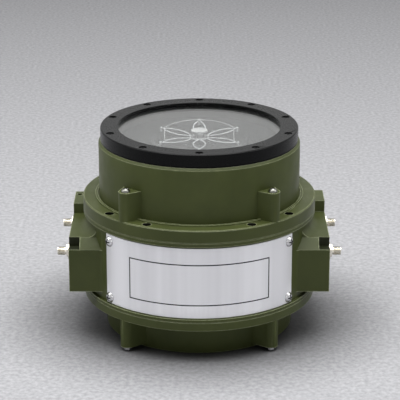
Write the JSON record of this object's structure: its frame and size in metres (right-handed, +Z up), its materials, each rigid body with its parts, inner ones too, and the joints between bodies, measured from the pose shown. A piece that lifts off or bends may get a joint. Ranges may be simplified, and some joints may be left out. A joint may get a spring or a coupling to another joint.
{
  "type": "laser gyro inertial navigation system",
  "caption": "Sealed drum-shaped inertial navigation unit that slowly turns its laser gyro cluster on a vertical spindle under a round viewing window.",
  "frame": {"origin": "centre of the lower pan's underside, on the spindle's axis", "axes": "+Z up along the spindle, -Y towards the front with the bright plate, +X to the right seen from the front"},
  "size_m": [0.2584, 0.214, 0.189],
  "materials": {
    "olive_paint": "satin olive paint on cast aluminium",
    "black_anodised": "satin black anodised",
    "black_steel": "blackened",
    "bright_steel": "bright zinc plated",
    "window_glass": "polished",
    "optic_glass": "polished glass rod",
    "gyro_glass": "polished low-expansion glass ceramic",
    "mirror_coat": "dielectric mirror",
    "electrode_metal": "machined",
    "rubber": "matt",
    "plate_metal": "brushed and clear anodised",
    "nickel": "nickel plated",
    "insulator": "white fluoropolymer",
    "gold_pin": "gold plated",
    "bearing_steel": "ground",
    "machined_steel": "machined",
    "electrical_iron": "lacquered laminations",
    "copper_wire": "enamelled copper",
    "magnet": "nickel plated magnet",
    "code_glass": "polished with printed code tracks",
    "black_plastic": "moulded",
    "board_green": "solder mask",
    "supply_case": "anodised",
    "machined_aluminium": "machined",
    "deck_grey": "grey anodised",
    "hub_white": "white glazed"
  },
  "bodies": {
    "housing": {"base_cover": "olive_paint", "base_cover_screws": "black_steel", "housing_seals": "rubber", "main_body": "olive_paint", "upper_cover": "olive_paint", "upper_cover_screws": "black_steel", "tie_bolts": "bright_steel", "tie_bolt_nuts": "bright_steel", "window_bezel": "black_anodised", "bezel_screws": "black_steel", "window_glass": "window_glass", "window_gasket": "rubber", "nameplate": "plate_metal", "nameplate_screws": "bright_steel", "coax_front_left": "nickel", "coax_front_right": "nickel", "coax_rear_left": "nickel", "coax_rear_right": "nickel", "coax_insulators": "insulator", "coax_pins": "gold_pin", "bearing_retainer": "machined_steel", "bearing_outer_races": "bearing_steel", "motor_stator": "electrical_iron", "motor_windings": "copper_wire", "encoder_read_head": "black_plastic", "slip_ring_stator": "black_plastic", "power_board": "board_green", "navigation_board": "board_green", "board_standoffs": "gold_pin"},
    "rotor": {"spindle_shaft": "machined_steel", "shaft_nut": "machined_steel", "bearing_inner_races": "bearing_steel", "bearing_balls": "bearing_steel", "motor_rotor": "electrical_iron", "motor_magnets": "magnet", "encoder_disc": "code_glass", "slip_ring_rotor": "gold_pin", "turntable": "machined_aluminium", "isolators": "rubber", "sensor_block": "machined_aluminium", "dither_wheels": "machined_steel", "accelerometers": "machined_aluminium", "high_voltage_supply": "supply_case", "gyro_board": "board_green", "deck_pillars": "machined_aluminium", "head_deck": "deck_grey", "deck_screws": "bright_steel", "light_loops": "optic_glass", "loop_mirrors": "optic_glass", "loop_ring": "optic_glass", "beam_hub": "hub_white"},
    "gyro_x": {"gyro_block_x": "gyro_glass", "gyro_mirrors_x": "mirror_coat", "gyro_electrodes_x": "electrode_metal"},
    "gyro_y": {"gyro_block_y": "gyro_glass", "gyro_mirrors_y": "mirror_coat", "gyro_electrodes_y": "electrode_metal"},
    "gyro_z": {"gyro_block_z": "gyro_glass", "gyro_mirrors_z": "mirror_coat", "gyro_electrodes_z": "electrode_metal"}
  },
  "joints": [
    {"name": "spindle_turn", "type": "hinge", "parent": "housing", "child": "rotor", "pos_m": [0, 0, 0.0545], "axis": [0, 0, 1], "continuous": true},
    {"name": "dither_x", "type": "hinge", "parent": "rotor", "child": "gyro_x", "pos_m": [0.0455, 0, 0.1225], "axis": [1, 0, 0], "range_deg": [-0.1, 0.1], "stiffness_Nm_per_rad": 5},
    {"name": "dither_y", "type": "hinge", "parent": "rotor", "child": "gyro_y", "pos_m": [0, 0.0455, 0.1225], "axis": [0, 1, 0], "range_deg": [-0.1, 0.1], "stiffness_Nm_per_rad": 5},
    {"name": "dither_z", "type": "hinge", "parent": "rotor", "child": "gyro_z", "pos_m": [0, 0, 0.1525], "axis": [0, 0, 1], "range_deg": [-0.1, 0.1], "stiffness_Nm_per_rad": 5}
  ]
}
